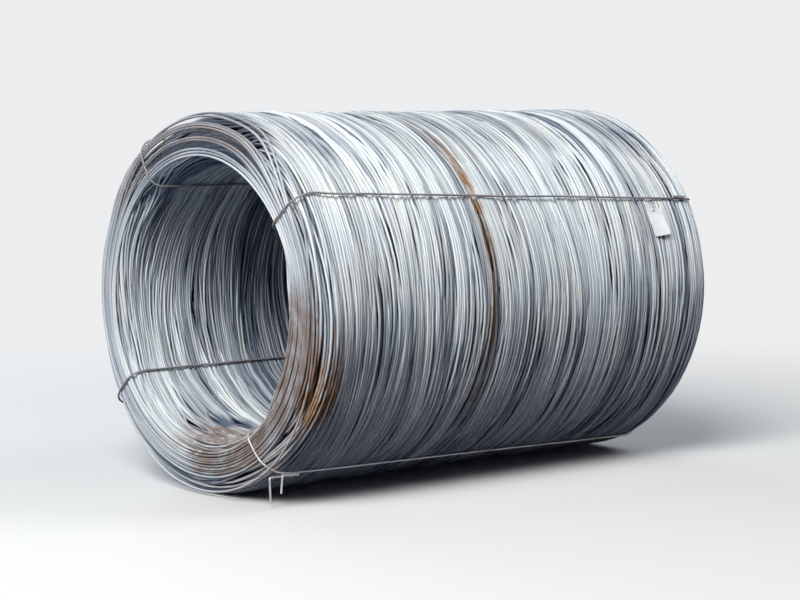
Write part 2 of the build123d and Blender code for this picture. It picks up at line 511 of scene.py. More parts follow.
def loose_turns(angle, degrees, rod_radius):
    """The last turns of the near end: above they part into ribs, and below one hangs clear."""
    stations, radii = [], []
    lip = outer_lip - rod_radius
    for number, spread_to in enumerate(loose_ribs):
        lean = bump_window(degrees[0], 80 - 1.5 * number, 112 + 1.0 * number, 40)
        start = loose_start + loose_pitch * number
        radius = start + (spread_to - start) * lean + 0.0016 * np.cos(2 * angle - 1.7 * number)
        over = np.clip(radius - (outer_radius - outer_lip), 0, lip)
        station = rod_radius + lip - np.sqrt(lip**2 - over**2)
        stations.append(station + 0.0015 + 0.0015 * np.cos(3 * angle + 2.3 * number))
        radii.append(radius)
    low_lean = bump_window(degrees[0], 258, 302, 70)
    stations.append(0.010 + 0.006 * (1 - low_lean) + 0.002 * np.cos(3 * angle))
    radii.append(0.540 + 0.046 * low_lean)
    return np.array(stations), np.array(radii)


def stain(turns, spots, degrees, marked):
    """How much rust or dirt the spots leave on each step of the turns. The marked turns take all of it."""
    station, radius = turns["station"], turns["radius"]
    left = 0.0
    for strength, steady, place, spread, first, last, fade, inner, outer in spots:
        near = np.exp(-0.5 * ((station - place) / spread) ** 2) * bump_window(degrees, first, last, fade)
        near = near * (radius > inner) * (radius < outer)
        left = left + strength * near * (steady + (1 - steady) * marked)
    return left


def add_finish_fields(turns):
    """Adds how pale each turn is, with painted light and shade in it, and where rust and dirt lie on it, from
    0 to 1.
    """
    rng = np.random.default_rng(finish_seed)
    angle, degrees = turns["angle"], turns["degrees"]
    station, radius = turns["station"], turns["radius"]
    count = len(station)
    tone = rng.normal(0, 0.24, (count, 1)) + 0.08 * smooth_noise(rng, count, 8)[:, None]
    for waves, size in tone_waves:
        tone = tone + own_wave(rng, size, count, waves, angle)
    depth = np.minimum(turns["high"] - radius, radius - turns["low"]).clip(0, None)
    # painted shade: turns that lie deeper in the wall are darkened
    tone = surface_tone + tone - depth_shade * np.minimum(depth, 0.03)
    # painted shade: the turns that are drawn back behind the loose ones are darkened, as they lie in their
    # shade
    set_back_shade = np.clip(turns["drawn_back"] / 0.03 - 0.35, 0, 1) * (station - turns["drawn_back"] < 0.055)
    tone = tone - 0.65 * set_back_shade * np.clip((0.594 - radius) / 0.012, 0, 1)
    # outside, painted light makes the shoulder paler, the top is darker, and painted shade darkens the lower
    # side
    painted_light = sum(paler * bump_window(degrees, *band) for paler, *band in painted_light_bands)
    tone = tone + painted_light * (radius > outside_radius)
    loose = count - len(loose_ribs) - 1
    tone[loose:] = 0.80 + 0.45 * (tone[loose:] - surface_tone) - 0.22 * bump_window(degrees, 76, 122, 26)
    # painted shade: further from the ends, the turns on the eye's side are darkened
    eye_shade = np.clip((np.minimum(station, coil_length - station) - 0.12) / 0.42, 0, 1)
    tone = tone - 0.66 * (radius < turns["low"] + 0.028) * eye_shade**1.3

    uneven = 0.5 + 0.5 * np.sin(7 * angle + rng.uniform(0, any_start, (count, 1)))
    lucky = rng.uniform(0, 1, (count, 1))
    shifted = degrees + rng.uniform(-5, 5, (count, 1))
    rust = stain(turns, rust_spots, shifted, lucky > 0.35) + 0.10 * (lucky > 0.90) * uneven
    dirt = stain(turns, dirt_spots, shifted, lucky > 0.3)
    # painted shade darkens the sunk spots, which are left without dirt
    for sunk_station, sunk_angle in sunk_spots:
        near = np.clip(1.3 - ((station - sunk_station) / sunk_reach) ** 2, 0, 1)
        pit_shade = near * bump_window(degrees, sunk_angle - 2, sunk_angle + 2, 5) * (radius < mean_radius)
        tone = tone - 1.1 * pit_shade
        dirt = dirt * (1 - pit_shade)
    for field, values in (("tone", tone), ("rust", rust), ("dirt", dirt)):
        turns[field] = np.clip(values, 0, 1)


def finer_turns(turns, wanted, windows):
    """The turns and their wanted steps, with each step halved inside the windows of angles."""
    steps = len(turns["angle"])
    middle = np.degrees(turns["angle"]) + 180 / steps
    halved = np.zeros(steps, dtype=bool)
    for first, last in windows:
        halved |= bump_window(middle, first, last, 0.1) > 0.5
    order = np.argsort(np.concatenate([np.arange(steps), np.nonzero(halved)[0] + 0.5]))
    finer = {"angle": np.concatenate([turns["angle"], turns["angle"][halved] + math.pi / steps])[order]}
    for field in ("station", "radius", "tone", "rust", "dirt"):
        value = turns[field]
        between = (9 * (value + np.roll(value, -1, 1)) - np.roll(value, 1, 1) - np.roll(value, -2, 1)) / 16
        finer[field] = np.hstack([value, between[:, halved].clip(0, None)])[:, order]
    return finer, np.hstack([wanted, wanted[:, halved]])[:, order]


def turn_piece(name, turns, wanted, settings, windows=()):
    """Makes one piece from the wanted steps of the turns: a joined mesh of closed, capped rods."""
    turns, wanted = finer_turns(turns, wanted, windows)
    sides, rod_radius = settings.sides, settings.rod_diameter / 2
    count, steps = turns["station"].shape
    angle = turns["angle"]
    outward = np.stack([np.zeros(steps), -np.cos(angle), np.sin(angle)], -1)
    centre = turns["radius"][..., None] * outward[None]
    centre[..., 0] = turns["station"] - half_length
    centre[..., 2] += axis_height
    around = 2 * np.pi * (np.arange(sides) + 0.5) / sides
    section = rod_radius * (
        np.cos(around)[None, :, None] * outward[:, None, :]
        + np.sin(around)[None, :, None] * np.array([1.0, 0, 0])
    )
    points = centre[:, :, None, :] + section[None]
    index = np.arange(count * steps * sides).reshape(count, steps, sides)
    ahead = np.roll(index, -1, axis=1)
    walls = np.stack([index, np.roll(index, -1, 2), np.roll(ahead, -1, 2), ahead], -1)[wanted].reshape(-1, 4)

    rows, columns = np.nonzero(wanted)
    wide = 2 * np.pi * rod_radius / sides
    along = np.repeat(mean_radius * (angle[columns] + streak_shift * rows)[:, None], sides, axis=1)
    next_along = along + mean_radius * np.diff(angle, append=2 * np.pi)[columns][:, None]
    round_it = np.repeat(np.arange(sides)[None, :] * wide, len(rows), axis=0)
    next_round = round_it + wide
    corners = ((along, round_it), (along, next_round), (next_along, next_round), (next_along, round_it))
    wall_map = np.stack([np.stack(corner, -1) for corner in corners], -2).reshape(-1, 4, 2)

    starts = wanted & ~np.roll(wanted, 1, axis=1)
    ends = wanted & ~np.roll(wanted, -1, axis=1)
    start_rings, end_rings = index[starts], ahead[ends]
    caps = []
    for first in range(0, sides - 2, 2):
        corner = [0, first + 1, first + 2, min(first + 3, sides - 1)]
        caps.append(end_rings[:, corner])
        caps.append(start_rings[:, corner[::-1]])
    caps = np.concatenate(caps)
    faces = np.concatenate([walls, caps])
    face_map = np.concatenate([wall_map, np.zeros((len(caps), 4, 2))])

    used, flat = np.unique(faces, return_inverse=True)
    flat = flat.reshape(-1)
    mesh = bpy.data.meshes.new(name)
    mesh.vertices.add(len(used))
    mesh.vertices.foreach_set("co", points.reshape(-1, 3)[used].astype(np.float32).ravel())
    mesh.loops.add(len(flat))
    mesh.loops.foreach_set("vertex_index", flat.astype(np.int32))
    mesh.polygons.add(len(faces))
    mesh.polygons.foreach_set("loop_start", np.arange(0, len(flat), 4, dtype=np.int32))
    mesh.polygons.foreach_set("use_smooth", np.arange(len(faces)) < len(walls))
    mesh.update(calc_edges=True)
    # the rims of the caps are sharp, so that a rod is shaded evenly up to its end
    capped = np.zeros(count * steps, dtype=bool)
    capped[start_rings[:, 0] // sides] = True
    capped[end_rings[:, 0] // sides] = True
    edges = np.empty(len(mesh.edges) * 2, dtype=np.int32)
    mesh.edges.foreach_get("vertices", edges)
    rings = (used // sides)[edges.reshape(-1, 2)]
    sharp = (rings[:, 0] == rings[:, 1]) & capped[rings[:, 0]]
    mesh.attributes.new("sharp_edge", "BOOLEAN", "EDGE").data.foreach_set("value", sharp)
    mesh.uv_layers.new(name="rod_map").data.foreach_set("uv", face_map.astype(np.float32).ravel())
    for field in ("tone", "rust", "dirt"):
        values = np.repeat(turns[field].reshape(-1), sides)[used]
        mesh.attributes.new(field, "FLOAT", "POINT").data.foreach_set("value", values.astype(np.float32))
    mesh.validate()
    piece = bpy.data.objects.new(name, mesh)
    bpy.context.scene.collection.objects.link(piece)
    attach(piece, "root")
    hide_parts("rod_coil")
    mesh.materials.append(mill_scale_steel(settings))


def grouped_turns(stem, count, turns, wanted, settings, windows):
    """Makes the wanted steps as pieces along the coil, the nearest one with finer steps in the windows."""
    share = turns["nominal"] / coil_length
    for group in range(count):
        mine = (share >= group / count) & (share < (group + 1) / count)
        turn_piece(f"{stem}_{group + 1}", turns, wanted & mine[:, None], settings, () if group else windows)


def shown_steps(turns, settings):
    """The steps of each turn that can be seen: near the outside, near the eye, or near an end."""
    inset = np.minimum(turns["station"] - turns["drawn_back"], coil_length - turns["station"])
    depth = settings.drawn_depth + deeper * (inset < deeper_reach)
    near_outside = turns["radius"] > turns["high"] - depth
    near_eye = turns["radius"] < turns["low"] + depth - eye_shallower
    near_end = inset < end_reach
    widen = [mask | np.roll(mask, -1, axis=1) for mask in (near_outside, near_eye, near_end)]
    outside = widen[0] & ~widen[2]
    eye = widen[1] & ~widen[2] & ~outside
    return outside, eye, widen[2]


def new_material(name):
    """A material with one Principled shader, and what is needed to add to it."""
    material = bpy.data.materials.new(name)
    material.use_nodes = True
    tree = material.node_tree
    tree.nodes.clear()
    output = tree.nodes.new("ShaderNodeOutputMaterial")
    shader = tree.nodes.new("ShaderNodeBsdfPrincipled")
    tree.links.new(shader.outputs["BSDF"], output.inputs["Surface"])
    return material, tree, shader


def blend_colours(tree, share, first, second):
    """A mix of two colours, each a socket or a plain colour, by a share from 0 to 1."""
    node = tree.nodes.new("ShaderNodeMix")
    node.data_type = "RGBA"
    for place, value in ((0, share), (6, first), (7, second)):
        if isinstance(value, bpy.types.NodeSocket):
            tree.links.new(value, node.inputs[place])
        elif place:
            node.inputs[place].default_value = (*value[:3], 1)
        else:
            node.inputs[place].default_value = value
    return node.outputs[2]


def maths(tree, operation, first, second=0.0, clamp=False):
    """One Math node on sockets or plain numbers."""
    node = tree.nodes.new("ShaderNodeMath")
    node.operation = operation
    node.use_clamp = clamp
    for place, value in enumerate((first, second)):
        if isinstance(value, bpy.types.NodeSocket):
            tree.links.new(value, node.inputs[place])
        else:
            node.inputs[place].default_value = value
    return node.outputs[0]


def noise(tree, vector, scale, detail=3.0):
    """Noise from 0 to 1, of a scale and a number of finer layers."""
    node = tree.nodes.new("ShaderNodeTexNoise")
    node.inputs["Scale"].default_value = scale
    node.inputs["Detail"].default_value = detail
    node.inputs["Roughness"].default_value = 0.55
    tree.links.new(vector, node.inputs["Vector"])
    return node.outputs["Fac"]


def ramp(tree, value, low, high):
    """Stretches a value so that low becomes 0 and high becomes 1."""
    node = tree.nodes.new("ShaderNodeMapRange")
    node.interpolation_type = "SMOOTHSTEP"
    node.inputs["From Min"].default_value = low
    node.inputs["From Max"].default_value = high
    tree.links.new(value, node.inputs["Value"])
    return node.outputs["Result"]


def seen_straight(tree):
    """1 for what the camera, a reflection or glass shows, and 0 for light that falls on the coil."""
    path = tree.nodes.new("ShaderNodeLightPath")
    shown = maths(tree, "MAXIMUM", path.outputs["Is Camera Ray"], path.outputs["Is Glossy Ray"])
    return maths(tree, "MAXIMUM", shown, path.outputs["Is Transmission Ray"])


def attribute(tree, name):
    """A value that the piece's own mesh holds."""
    node = tree.nodes.new("ShaderNodeAttribute")
    node.attribute_name = name
    return node.outputs["Fac"]


def place_on_piece(tree):
    """The place on the piece, in its own coordinates."""
    return tree.nodes.new("ShaderNodeTexCoord").outputs["Object"]


def stretched(tree, scale):
    """The place on the piece, scaled along each axis."""
    node = tree.nodes.new("ShaderNodeMapping")
    node.inputs["Scale"].default_value = scale
    tree.links.new(place_on_piece(tree), node.inputs["Vector"])
    return node.outputs["Vector"]


def roughen(tree, shader, height, strength, distance):
    """Makes a surface uneven by a height that changes over it."""
    bump = tree.nodes.new("ShaderNodeBump")
    bump.inputs["Strength"].default_value = strength
    bump.inputs["Distance"].default_value = distance
    tree.links.new(height, bump.inputs["Height"])
    tree.links.new(bump.outputs["Normal"], shader.inputs["Normal"])


def weathered_steel_group():
    """Rolled or drawn steel: scale that is paler and darker in streaks, rust, dirt and fine pits."""
    if "weathered_steel" in bpy.data.node_groups:
        return bpy.data.node_groups["weathered_steel"]
    tree = bpy.data.node_groups.new("weathered_steel", "ShaderNodeTree")
    for in_out, kind, labels in (
        ("INPUT", "NodeSocketVector", ("Along",)),
        ("INPUT", "NodeSocketFloat", ("Tone", "Rust", "Dirt")),
        ("INPUT", "NodeSocketColor", ("Pale", "Warm", "Dark", "Rust Colour", "Dirt Colour")),
        ("OUTPUT", "NodeSocketColor", ("Colour",)),
        ("OUTPUT", "NodeSocketFloat", ("Roughness", "Metal", "Height")),
    ):
        for label in labels:
            tree.interface.new_socket(name=label, in_out=in_out, socket_type=kind)
    source = tree.nodes.new("NodeGroupInput").outputs
    result = tree.nodes.new("NodeGroupOutput").inputs
    where = place_on_piece(tree)

    streaks = noise(tree, source["Along"], 1.0, 4.0)
    patches = noise(tree, where, 5.5)
    specks = noise(tree, where, 520.0, 2.0)
    tone = source["Tone"]
    for pattern, contrast in ((streaks, 0.55), (patches, 0.35), (specks, 0.22)):
        change = maths(tree, "MULTIPLY", maths(tree, "SUBTRACT", pattern, 0.5), contrast)
        tone = maths(tree, "ADD", tone, change)
    tone = maths(tree, "ADD", tone, clamp=True)
    mixed = maths(tree, "MULTIPLY", maths(tree, "ADD", streaks, patches), 0.5)
    warmth = maths(tree, "MULTIPLY", ramp(tree, mixed, 0.45, 0.63), 0.75)
    pale = blend_colours(tree, warmth, source["Pale"], source["Warm"])
    colour = blend_colours(tree, tone, source["Dark"], pale)

    # rust and dirt spread in patches that follow the rod
    lengthwise = tree.nodes.new("ShaderNodeVectorMath")
    lengthwise.operation = "MULTIPLY"
    lengthwise.inputs[1].default_value = (3.5, 3.5, 0.25)
    tree.links.new(source["Along"], lengthwise.inputs[0])
    spread = noise(tree, lengthwise.outputs[0], 1.0)
    bloom = maths(tree, "MULTIPLY", maths(tree, "ADD", spread, noise(tree, where, 16.0)), 0.5)

    def patchy(mask, low, high, least, most):
        share = maths(tree, "ADD", ramp(tree, bloom, low, high), least)
        return maths(tree, "MINIMUM", maths(tree, "MULTIPLY", mask, share), most)

    rusty = patchy(source["Rust"], 0.36, 0.60, 0.35, 0.94)
    deeper_rust = ramp(tree, streaks, 0.42, 0.66)
    rust = blend_colours(tree, deeper_rust, source["Rust Colour"], (0.16, 0.085, 0.055))
    colour = blend_colours(tree, rusty, colour, rust)
    dusty = patchy(source["Dirt"], 0.35, 0.60, 0.30, 0.95)
    colour = blend_colours(tree, dusty, colour, source["Dirt Colour"])
    covered = maths(tree, "MAXIMUM", rusty, dusty)
    rough = maths(tree, "ADD", 0.50, maths(tree, "MULTIPLY", specks, 0.14))
    rough = maths(tree, "ADD", rough, maths(tree, "MULTIPLY", covered, 0.38), clamp=True)
    metal = maths(tree, "MULTIPLY", maths(tree, "SUBTRACT", 1.0, covered), 0.06)
    pits = maths(tree, "ADD", maths(tree, "MULTIPLY", specks, 0.6), maths(tree, "MULTIPLY", streaks, 0.4))
    for label, value in (("Colour", colour), ("Roughness", rough), ("Metal", metal), ("Height", pits)):
        tree.links.new(value, result[label])
    return tree


def weathered(tree, along, values, colours):
    """Places the weathered steel in a material, with its own values and colours, and returns its outputs."""
    group = tree.nodes.new("ShaderNodeGroup")
    group.node_tree = weathered_steel_group()
    tree.links.new(along, group.inputs["Along"])
    for label, value in zip(("Tone", "Rust", "Dirt"), values):
        if isinstance(value, bpy.types.NodeSocket):
            tree.links.new(value, group.inputs[label])
        else:
            group.inputs[label].default_value = value
    for label, colour in zip(("Pale", "Warm", "Dark", "Rust Colour", "Dirt Colour"), colours):
        group.inputs[label].default_value = (*colour, 1)
    return group.outputs


def mill_scale_steel(settings):
    """The rod: hot-rolled steel with grey scale, in streaks that follow each turn."""
    if "mill_scale_steel" in bpy.data.materials:
        return bpy.data.materials["mill_scale_steel"]
    material, tree, shader = new_material("mill_scale_steel")
    rod_map = tree.nodes.new("ShaderNodeUVMap")
    rod_map.uv_map = "rod_map"
    flat = tree.nodes.new("ShaderNodeSeparateXYZ")
    tree.links.new(rod_map.outputs["UV"], flat.inputs["Vector"])
    # the length along a turn is wound on a ring, so that a turn's finish has no seam
    ring = tree.nodes.new("ShaderNodeCombineXYZ")
    turned = maths(tree, "DIVIDE", flat.outputs["X"], mean_radius)
    for axis, operation in (("X", "COSINE"), ("Y", "SINE")):
        wound = maths(tree, "MULTIPLY", maths(tree, operation, turned), 7.0 * mean_radius)
        tree.links.new(wound, ring.inputs[axis])
    tree.links.new(maths(tree, "MULTIPLY", flat.outputs["Y"], 110.0), ring.inputs["Z"])
    # the tone holds painted light and shade besides the scale's own paleness
    values = [attribute(tree, name) for name in ("tone", "rust", "dirt")]
    colours = (settings.pale_scale, settings.warm_scale, settings.dark_scale, settings.rust, settings.dirt)
    steel = weathered(tree, ring.outputs["Vector"], values, colours)
    roughen(tree, shader, steel["Height"], 0.25, 0.0006)
    tree.links.new(steel["Colour"], shader.inputs["Base Color"])
    tree.links.new(steel["Roughness"], shader.inputs["Roughness"])
    tree.links.new(steel["Metal"], shader.inputs["Metallic"])
    shader.inputs["Specular IOR Level"].default_value = 0.12
    return material


def tie_wire_steel(settings, rust):
    """The ties: dark wire with worn and rusty patches, and, where its mesh says so, paler as painted light
    and shinier.
    """
    if "tie_wire_steel" in bpy.data.materials:
        return bpy.data.materials["tie_wire_steel"]
    material, tree, shader = new_material("tie_wire_steel")
    bright = attribute(tree, "bright")
    # painted light: where the mesh is marked bright, the wire's colour is paler
    tone = maths(tree, "ADD", 0.30, maths(tree, "MULTIPLY", bright, 0.6))
    patch = noise(tree, place_on_piece(tree), 9.0, 4.0)
    rusty = maths(tree, "MULTIPLY", ramp(tree, patch, 0.52, 0.7), 0.55)
    colours = (settings.worn, settings.worn, settings.wire, rust, rust)
    steel = weathered(tree, stretched(tree, (14.0, 40.0, 40.0)), (tone, rusty, 0.0), colours)
    roughen(tree, shader, steel["Height"], 0.3, 0.0005)
    tree.links.new(steel["Colour"], shader.inputs["Base Color"])
    rough = maths(tree, "SUBTRACT", steel["Roughness"], maths(tree, "MULTIPLY", bright, 0.2))
    tree.links.new(rough, shader.inputs["Roughness"])
    metal = maths(tree, "MAXIMUM", steel["Metal"], maths(tree, "MULTIPLY", bright, 0.5))
    tree.links.new(metal, shader.inputs["Metallic"])
    return material


def shadowed_core():
    """What lies between the turns deep inside: dull scale, painted nearly black as painted shade where little
    light reaches.
    """
    material, tree, shader = new_material("shadowed_core")
    lines = ramp(tree, noise(tree, stretched(tree, (120.0, 2.0, 2.0)), 1.0), 0.35, 0.7)
    # painted shade: the core's colour is nearly black
    scale = blend_colours(tree, lines, (0.010, 0.011, 0.014), (0.055, 0.055, 0.06))
    tree.links.new(scale, shader.inputs["Base Color"])
    shader.inputs["Roughness"].default_value = 0.9
    return material


def tag_sheet_white(settings):
    """The tag: white sheet with a little grime."""
    material, tree, shader = new_material("tag_sheet_white")
    where = place_on_piece(tree)
    grime = maths(tree, "MULTIPLY", ramp(tree, noise(tree, where, 38.0, 4.0), 0.45, 0.75), 0.22)
    sheet = blend_colours(tree, grime, settings.face, (0.62, 0.60, 0.57))
    tree.links.new(sheet, shader.inputs["Base Color"])
    roughen(tree, shader, noise(tree, where, 900.0, 2.0), 0.15, 0.0002)
    rough = maths(tree, "ADD", 0.42, maths(tree, "MULTIPLY", grime, 0.5))
    tree.links.new(rough, shader.inputs["Roughness"])
    return material


def deselect_all():
    """Leaves edit mode and selects nothing."""
    if bpy.context.mode != "OBJECT":
        bpy.ops.object.mode_set(mode="OBJECT")
    bpy.ops.object.select_all(action="DESELECT")


def only(piece):
    """Selects one piece and nothing else."""
    deselect_all()
    piece.select_set(True)
    bpy.context.view_layer.objects.active = piece


def face_outwards(smooth_below):
    """Turns the active piece's faces outwards and smooths its edges below an angle in degrees."""
    bpy.ops.object.mode_set(mode="EDIT")
    bpy.ops.mesh.select_all(action="SELECT")
    bpy.ops.mesh.normals_make_consistent(inside=False)
    bpy.ops.object.mode_set(mode="OBJECT")
    bpy.ops.object.shade_smooth_by_angle(angle=math.radians(smooth_below))


def on_coil(station, angle, radius):
    """A point at a distance along the eye from the middle, an angle round it in degrees and a radius."""
    turn = math.radians(angle)
    return Vector((station, -radius * math.cos(turn), axis_height + radius * math.sin(turn)))


def wire(name, points, diameter, roundness=2):
    """A round wire along a smooth line through a list of places, made a mesh."""
    deselect_all()
    bpy.ops.curve.primitive_nurbs_path_add(location=(0, 0, 0))
    line = bpy.context.object
    line.name = name
    data = line.data
    data.splines.clear()
    spline = data.splines.new("NURBS")
    spline.points.add(len(points) - 1)
    for control, place in zip(spline.points, points):
        control.co = (*place, 1)
    spline.order_u = 3
    spline.use_endpoint_u = True
    spline.resolution_u = 3
    data.dimensions = "3D"
    data.bevel_depth = diameter / 2
    data.bevel_resolution = roundness
    data.use_fill_caps = True
    only(line)
    bpy.ops.object.convert(target="MESH")
    return bpy.context.object


def join(name, parts):
    """Joins parts into one piece."""
    deselect_all()
    for part in parts:
        part.select_set(True)
    bpy.context.view_layer.objects.active = parts[0]
    bpy.ops.object.join()
    joined = bpy.context.object
    joined.name = joined.data.name = name
    face_outwards(50)
    return joined


def tie_angle_at(angles, station):
    """The angle of a tie outside, at a distance from the coil's middle, eased where it bends."""
    _, near, middle, far = angles
    share = max(-1.0, min(1.0, station / tie_reach))
    bend = 0.12
    straight = middle + (middle - near) * share if share < 0 else middle + (far - middle) * share
    if abs(share) < bend:
        before = middle - (middle - near) * bend
        after = middle + (far - middle) * bend
        t = (share + bend) / (2 * bend)
        return (1 - t) ** 2 * before + 2 * t * (1 - t) * middle + t**2 * after
    return straight


def tie_line(angles, rng):
    """Places along a tie's loop, from the outside's near end over the far lip, through the eye and back."""
    eye = angles[0]
    places = []

    def lip(side, end_angle, outward):
        """One end: over the outer lip, down the face and round into the eye, or the other way."""
        turns = [math.radians(18 * step) for step in range(6)]
        run = []
        for turn in turns:
            radius = tie_outer_radius - tie_outer_bend * (1 - math.cos(turn))
            run.append((tie_reach - tie_outer_bend * (1 - math.sin(turn)), radius))
        face_ends = tie_outer_radius - tie_outer_bend + tie_inner_radius + tie_inner_bend
        run.append((tie_reach, face_ends / 2))
        for turn in turns:
            radius = tie_inner_radius + tie_inner_bend * (1 - math.sin(turn))
            run.append((tie_reach - tie_inner_bend * (1 - math.cos(turn)), radius))
        if outward:
            run.reverse()
        for station, radius in run:
            share = (radius - tie_inner_radius) / (tie_outer_radius - tie_inner_radius)
            places.append(on_coil(side * station, eye + (end_angle - eye) * share, radius))

    outside = np.linspace(-outside_run, outside_run, 25)
    sway = np.interp(outside, np.linspace(-full_run, full_run, 9), rng.normal(0, outside_sway, 9))
    lift = rng.uniform(0, outside_lift, len(outside))
    lip(-1, angles[1], True)
    for station, swayed, lifted in zip(outside, sway, lift):
        places.append(on_coil(station, tie_angle_at(angles, station) + swayed, tie_outer_radius + lifted))
    lip(1, angles[3], False)
    for station in np.linspace(full_run, -full_run, 21):
        angle = eye + rng.normal(0, eye_sway)
        places.append(on_coil(station, angle, tie_inner_radius - rng.uniform(0, eye_lift)))
    return places


def twist_knot(name, centre, along, outwards, diameter, rng):
    """Two ends twisted round each other, each cut off short."""
    sideways = along.cross(outwards)
    strands = []
    start = rng.uniform(0, any_start)
    spread = diameter * 0.52
    for strand in range(2):
        places = []
        for step in range(31):
            share = step / 30
            turn = start + math.pi * strand + 2 * math.pi * knot_twists * share
            offset = outwards * math.cos(turn) * spread + sideways * math.sin(turn) * spread
            places.append(centre + along * (share - 0.5) * knot_length + offset)
        strands.append(wire(f"{name}_strand_{strand}", places, diameter))
    return strands


def cut_tails(name, centre, along, outwards, diameter):
    """The knot's two long ends, which run back to the near lip and hang down there."""
    sideways = along.cross(outwards)
    tails = []
    for side, station, height, lean in tie_tails:
        start = centre + sideways * tail_side_offset * side
        bend = start - along * (centre.x + half_length - station)
        places = [start + (bend - start) * share for share in (0, 0.35, 0.7, 0.86)]
        places.append(bend)
        for share in (0.16, 0.35, 0.6, 0.82, 1.0):
            drop = (bend.z - height) * share
            places.append(Vector((bend.x + lean * share, bend.y + 0.4 * lean * share, bend.z - drop)))
        tails.append(wire(f"{name}_tail", places, diameter))
    return tails


def cut_stubs(name, centre, along, outwards, diameter):
    """The knot's two ends, each cut off close and bent away from the coil."""
    stubs = []
    for side in (-1, 1):
        start = centre + along * 0.014 * side
        ends = ((0.0, 0.0), (0.008, 0.002), (0.013, 0.007))
        places = [start + along * run * side + outwards * rise for run, rise in ends]
        stubs.append(wire(f"{name}_stub", places, diameter))
    return stubs


class COIL_OT_outside_turns(bpy.types.Operator):
    """Build the turns that show on the outside, in four groups along the coil"""

    bl_idname = "coil.outside_turns"
    bl_label = "Outside Turns"

    def execute(self, context):
        settings = context.scene.coil_turns
        turns = lay_turns(settings)
        outside, _, _ = shown_steps(turns, settings)
        grouped_turns("outside_turns", 4, turns, outside, settings, fine_outside)
        return {"FINISHED"}


class COIL_OT_eye_turns(bpy.types.Operator):
    """Build the turns that show in the eye, in three groups along it"""

    bl_idname = "coil.eye_turns"
    bl_label = "Eye Turns"

    def execute(self, context):
        settings = context.scene.coil_turns
        turns = lay_turns(settings)
        _, eye, _ = shown_steps(turns, settings)
        grouped_turns("eye_turns", 3, turns, eye, settings, fine_in_eye)
        return {"FINISHED"}


class COIL_OT_end_turns(bpy.types.Operator):
    """Build the turns of both ends, with the loose ones of the near end"""

    bl_idname = "coil.end_turns"
    bl_label = "End Turns"

    def execute(self, context):
        settings = context.scene.coil_turns
        turns = lay_turns(settings)
        _, _, ends = shown_steps(turns, settings)
        near = turns["station"] < half_length
        turn_piece("near_end_turns", turns, ends & near, settings, fine_at_near_end)
        turn_piece("far_end_turns", turns, ends & ~near, settings)
        return {"FINISHED"}


class COIL_OT_core(bpy.types.Operator):
    """Build the core that shows between the turns, dark with painted shade"""

    bl_idname = "coil.core"
    bl_label = "Core"

    def execute(self, context):
        deselect_all()
        bpy.ops.mesh.primitive_plane_add(size=1, location=(0, 0, 0))
        core = context.object
        core.name = core.data.name = "coil_core"
        near, far = core_near_inset - half_length, half_length - core_far_inset
        bpy.ops.object.mode_set(mode="EDIT")
        bpy.ops.transform.resize(value=(far - near, core_outer - core_inner, 1))
        bpy.ops.transform.translate(value=((near + far) / 2, (core_outer + core_inner) / 2, 0))
        bpy.ops.mesh.bevel(offset=core_rounding, segments=4, affect="VERTICES")
        bpy.ops.mesh.select_all(action="SELECT")
        bpy.ops.mesh.spin(steps=96, angle=2 * math.pi, center=(0, 0, 0), axis=(1, 0, 0))
        bpy.ops.mesh.select_all(action="SELECT")
        bpy.ops.mesh.remove_doubles(threshold=0.0002)
        bpy.ops.mesh.select_all(action="SELECT")
        bpy.ops.mesh.delete_loose()
        bpy.ops.mesh.select_all(action="SELECT")
        bpy.ops.transform.translate(value=(0, 0, axis_height))
        face_outwards(40)
        core.data.materials.append(shadowed_core())
        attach(core, "root")
        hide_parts("rod_coil")
        return {"FINISHED"}


class COIL_OT_binding_ties(bpy.types.Operator):
    """Build the four binding ties with their twisted knots and the cut tails of the last one"""

    bl_idname = "coil.binding_ties"
    bl_label = "Binding Ties"

    def execute(self, context):
        settings = context.scene.coil_ties
        diameter = settings.wire_diameter
        material = tie_wire_steel(settings, context.scene.coil_turns.rust)
        for number, angles in enumerate(tie_angles, 1):
            rng = np.random.default_rng(tie_seed + number)
            name = f"tie_wire_{number}"
            places = tie_line(angles, rng)
            near_lip = number == len(tie_angles)
            knot_station = tie_reach - tie_outer_bend - knot_inset
            knot_station = -knot_station if near_lip else knot_station
            before, after = (
                on_coil(station, tie_angle_at(angles, station), tie_outer_radius)
                for station in (knot_station - knot_stretch, knot_station + knot_stretch)
            )
            along = (after - before).normalized()
            middle = (before + after) / 2
            outwards = Vector((0, middle.y, middle.z - axis_height)).normalized()
            centre = middle + outwards * knot_rise
            parts = [wire(name, places + places[:1], diameter)]
            parts += twist_knot(name, centre, along, outwards, diameter, rng)
            cut_ends = cut_tails if near_lip else cut_stubs
            parts += cut_ends(name, centre, along, outwards, diameter)
            piece = join(name, parts)
            # the last tie is marked bright: painted light makes it paler, and it is shinier
            piece.data.attributes.new("bright", "FLOAT", "POINT").data.foreach_set(
                "value", np.full(len(piece.data.vertices), float(near_lip), dtype=np.float32)
            )
            piece.data.materials.clear()
            piece.data.materials.append(material)
            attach(piece, "root")
            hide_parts(f"binding_tie_{number}")
        return {"FINISHED"}


